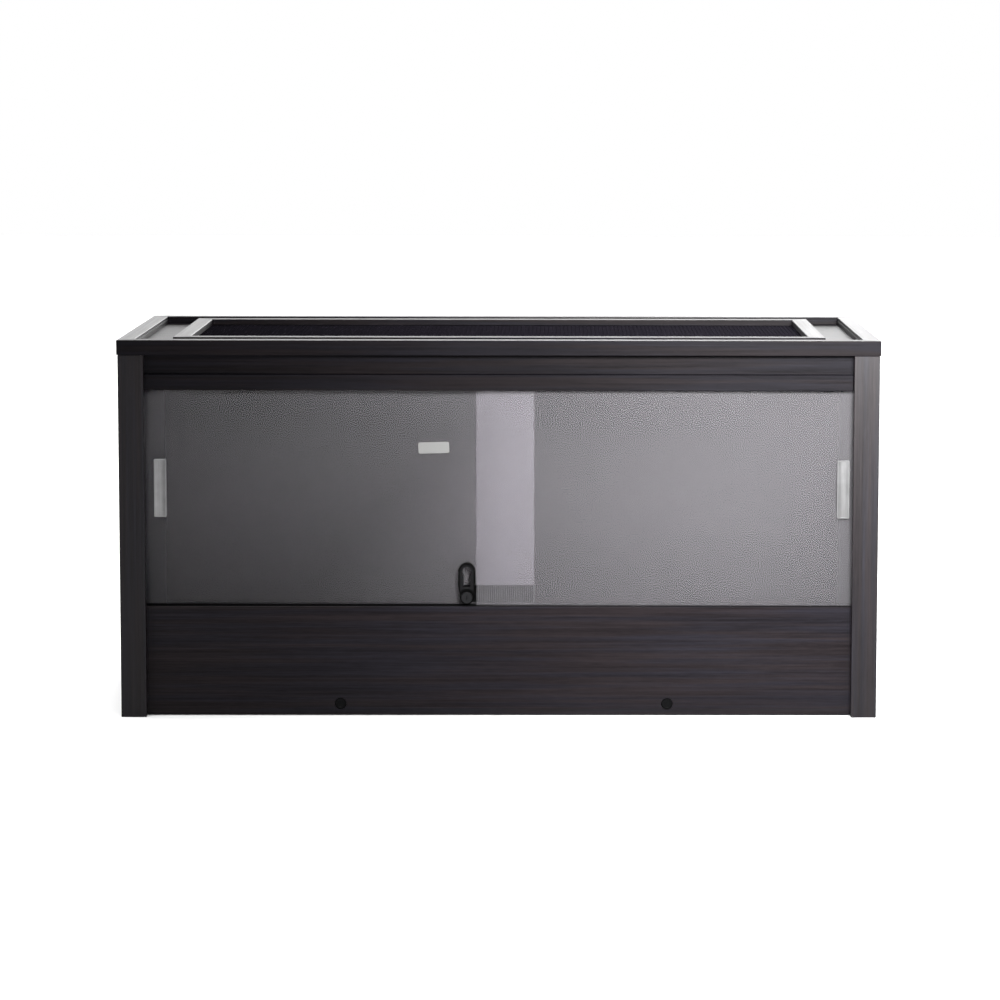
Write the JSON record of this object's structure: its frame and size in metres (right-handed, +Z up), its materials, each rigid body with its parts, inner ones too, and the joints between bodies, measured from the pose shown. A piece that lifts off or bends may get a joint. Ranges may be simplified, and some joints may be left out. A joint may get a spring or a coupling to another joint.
{
  "type": "terrarium cabinet",
  "caption": "Dark wooden terrarium cabinet with sliding glass doors, a framed mesh vent in the lid, metal door pulls and a ratchet lock.",
  "frame": {"origin": "on the floor, under the middle of the cabinet", "axes": "+X to the right as seen from the doors, +Y from the doors to the back, +Z up"},
  "size_m": [1.2, 0.5, 0.6],
  "materials": {
    "laminate": "satin laminate with fine grain",
    "hardboard": "satin",
    "glass": "polished",
    "brushed_metal": "brushed",
    "steel": "satin",
    "black_plastic": "satin",
    "beech": "matte"
  },
  "bodies": {
    "cabinet": {"left_side_panel": "laminate", "right_side_panel": "laminate", "left_front_stile": "laminate", "right_front_stile": "laminate", "lower_fascia": "laminate", "upper_rail": "laminate", "pelmet_strip": "laminate", "floor_panel": "laminate", "back_panel": "hardboard", "cable_grommet": "black_plastic", "fascia_cap_left": "black_plastic", "fascia_cap_right": "black_plastic", "fascia_screw_left": "steel", "fascia_screw_right": "steel", "floor_dowel_front_left": "beech", "floor_dowel_front_right": "beech", "floor_dowel_back_left": "beech", "floor_dowel_back_right": "beech", "fascia_dowel_left": "beech", "fascia_dowel_right": "beech", "rail_dowel_left": "beech", "rail_dowel_right": "beech", "stile_dowel_lower_left": "beech", "stile_dowel_lower_right": "beech", "stile_dowel_upper_left": "beech", "stile_dowel_upper_right": "beech", "floor_cam_front_left": "steel", "floor_cam_front_right": "steel", "floor_cam_back_left": "steel", "floor_cam_back_right": "steel", "floor_bolt_front_left": "steel", "floor_bolt_front_right": "steel", "floor_bolt_back_left": "steel", "floor_bolt_back_right": "steel", "rim_front": "laminate", "rim_right": "laminate", "rim_back": "laminate", "rim_left": "laminate", "vent_frame_front": "laminate", "vent_frame_right": "laminate", "vent_frame_back": "laminate", "vent_frame_left": "laminate", "top_panel": "laminate", "vent_mesh": "steel", "lower_runner": "black_plastic", "upper_runner": "black_plastic"},
    "left_door": {"left_glass_pane": "glass", "left_door_pull": "brushed_metal", "lock_ratchet_bar": "steel"},
    "right_door": {"right_glass_pane": "glass", "right_door_pull": "brushed_metal"},
    "lock": {"lock_body": "black_plastic", "lock_pawl": "steel"},
    "barrel": {"lock_barrel": "black_plastic"}
  },
  "joints": [
    {"name": "left_door_slide", "type": "slide", "parent": "cabinet", "child": "left_door", "axis": [1, 0, 0], "range_m": [0, 0.52]},
    {"name": "right_door_slide", "type": "slide", "parent": "cabinet", "child": "right_door", "axis": [1, 0, 0], "range_m": [-0.46, 0]},
    {"name": "lock_slide", "type": "slide", "parent": "right_door", "child": "lock", "axis": [1, 0, 0], "range_m": [-0.03, 0]},
    {"name": "barrel_turn", "type": "hinge", "parent": "lock", "child": "barrel", "pos_m": [-0.0513, -0.231, 0.1892], "axis": [0, 1, 0], "range_deg": [0, 90]}
  ]
}
